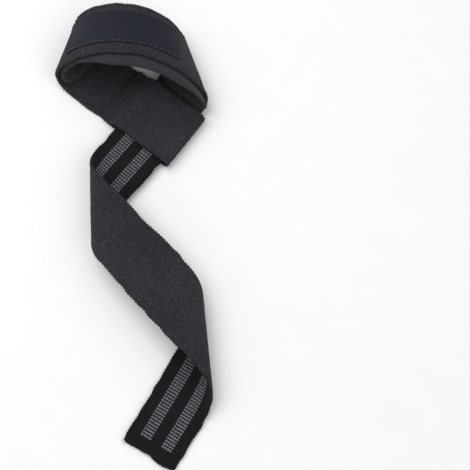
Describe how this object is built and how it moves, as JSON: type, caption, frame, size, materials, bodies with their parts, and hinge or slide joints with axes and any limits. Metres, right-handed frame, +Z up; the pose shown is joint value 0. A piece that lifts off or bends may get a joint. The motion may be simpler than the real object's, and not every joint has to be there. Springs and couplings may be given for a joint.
{
  "type": "weightlifting strap",
  "caption": "Padded wrist strap for weightlifting: cotton webbing that passes through its own end loop, with a soft wrist pad and rubber grip lines on the tail, lying flat.",
  "frame": {"origin": "middle of the strap's footprint, on the surface that it lies on", "axes": "+Z up from that surface, +Y along the strap as it lies, from the cut tail end to the wrist loop, +X to the right of it seen from above"},
  "size_m": [0.0924, 0.2764, 0.0396],
  "materials": {
    "webbing": "matt charcoal cotton, ribbed weave with corded edges",
    "pad": "matt, faced with a fine knit",
    "patch": "fine dark woven label, bare, stitched down along its edges",
    "grip": "grey printed silicone dashes"
  },
  "bodies": {
    "root": {"webbing_strap": "webbing", "wrist_pad": "pad", "label_patch": "patch", "grip_strip_left": "grip", "grip_strip_right": "grip"}
  },
  "joints": []
}
